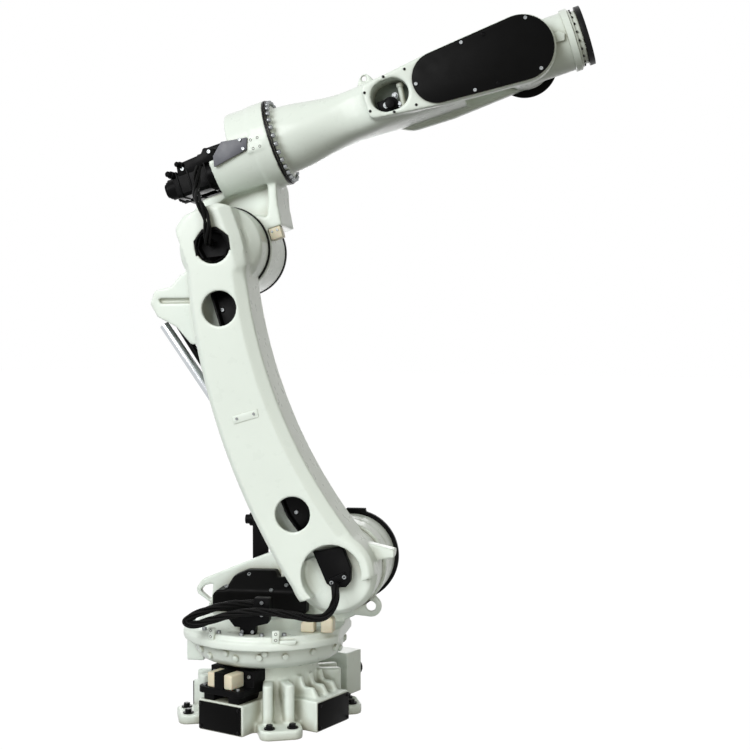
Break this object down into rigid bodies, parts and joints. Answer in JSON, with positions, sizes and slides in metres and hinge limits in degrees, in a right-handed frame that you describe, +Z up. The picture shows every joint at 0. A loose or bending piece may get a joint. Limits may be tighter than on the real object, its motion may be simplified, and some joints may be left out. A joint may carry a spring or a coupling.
{
  "type": "industrial robot arm",
  "caption": "Floor mounted industrial robot arm with a turning base, bowed lower arm, tubular forearm and bending wrist that ends in a round tool flange",
  "frame": {"origin": "on the floor, on the turning axis, in the middle of the base's underside", "axes": "+Z up along the turning axis, X and Y square to the base, -Y towards the side of the base with the turning stop"},
  "size_m": [1.3816, 0.9, 2.4124],
  "materials": {
    "white_paint": "gloss enamel over cast iron",
    "black_paint": "satin black paint on sheet steel",
    "black_cover": "fine textured black paint on sheet steel",
    "black_motor": "semi gloss black paint",
    "cream_cushion": "cast polyurethane",
    "cable_sleeve": "bundled cables in black sleeve",
    "bright_rod": "ground and plated",
    "grey_sheet": "dark grey paint on sheet steel",
    "black_steel": "black oxide on machined steel"
  },
  "bodies": {
    "base": {"base_casting": "white_paint", "base_cover_front": "black_paint", "base_cover_right": "black_paint", "base_cover_left": "black_paint", "connector_box": "white_paint", "stop_bracket": "black_paint", "stop_bumpers": "cream_cushion"},
    "turret": {"turret_casting": "white_paint", "shoulder_column": "white_paint", "stop_dog": "white_paint", "lifting_web": "white_paint", "front_lifting_lug": "white_paint", "turning_motor_cover": "black_paint", "harness_bracket": "black_paint", "shoulder_motor": "black_motor", "junction_bracket": "black_paint", "junction_plug": "black_motor", "shoulder_bumpers": "cream_cushion", "harness_lower": "cable_sleeve"},
    "lower_arm": {"lower_arm_casting": "white_paint", "cable_trough": "black_motor", "upper_cable_guide": "black_motor", "lower_cable_guide": "black_motor", "balancer_rod": "bright_rod", "balancer_tube": "black_motor"},
    "upper_arm": {"upper_arm_housing": "white_paint", "elbow_motor": "black_motor", "wrist_motor_near": "black_motor", "wrist_motor_far": "black_motor", "wrist_motor_top": "black_motor", "motor_bracket": "grey_sheet", "elbow_bumper": "cream_cushion", "harness_upper": "cable_sleeve"},
    "forearm": {"forearm_ring": "white_paint", "forearm_casting": "white_paint", "forearm_lifting_eye": "white_paint", "wrist_cover_near": "black_cover", "wrist_cover_far": "black_cover", "window_fitting": "black_motor"},
    "wrist": {"wrist_housing": "white_paint"},
    "flange": {"tool_flange": "black_steel"}
  },
  "joints": [
    {"name": "turn", "type": "hinge", "parent": "base", "child": "turret", "pos_m": [0, 0, 0], "axis": [0, 0, 1], "range_deg": [-273, 45]},
    {"name": "shoulder", "type": "hinge", "parent": "turret", "child": "lower_arm", "pos_m": [0.24666, 0.10982, 0.54], "axis": [-0.4067, 0.9135, 0], "range_deg": [-39, 95], "deforming": ["harness_lower"]},
    {"name": "elbow", "type": "hinge", "parent": "lower_arm", "child": "upper_arm", "pos_m": [-0.11453, -0.05099, 1.61458], "axis": [0.4067, -0.9135, 0], "range_deg": [-78, 72], "deforming": ["harness_upper"]},
    {"name": "forearm_roll", "type": "hinge", "parent": "upper_arm", "child": "forearm", "pos_m": [-0.19878, -0.0885, 1.9053], "axis": [0.8708, 0.3877, 0.3024], "range_deg": [-210, 210]},
    {"name": "wrist_bend", "type": "hinge", "parent": "forearm", "child": "wrist", "pos_m": [0.79914, 0.3558, 2.25181], "axis": [0.4067, -0.9135, 0], "range_deg": [-125, 125]},
    {"name": "flange_roll", "type": "hinge", "parent": "wrist", "child": "flange", "pos_m": [0.79914, 0.3558, 2.25181], "axis": [0.8708, 0.3877, 0.3024], "range_deg": [-210, 210]}
  ]
}
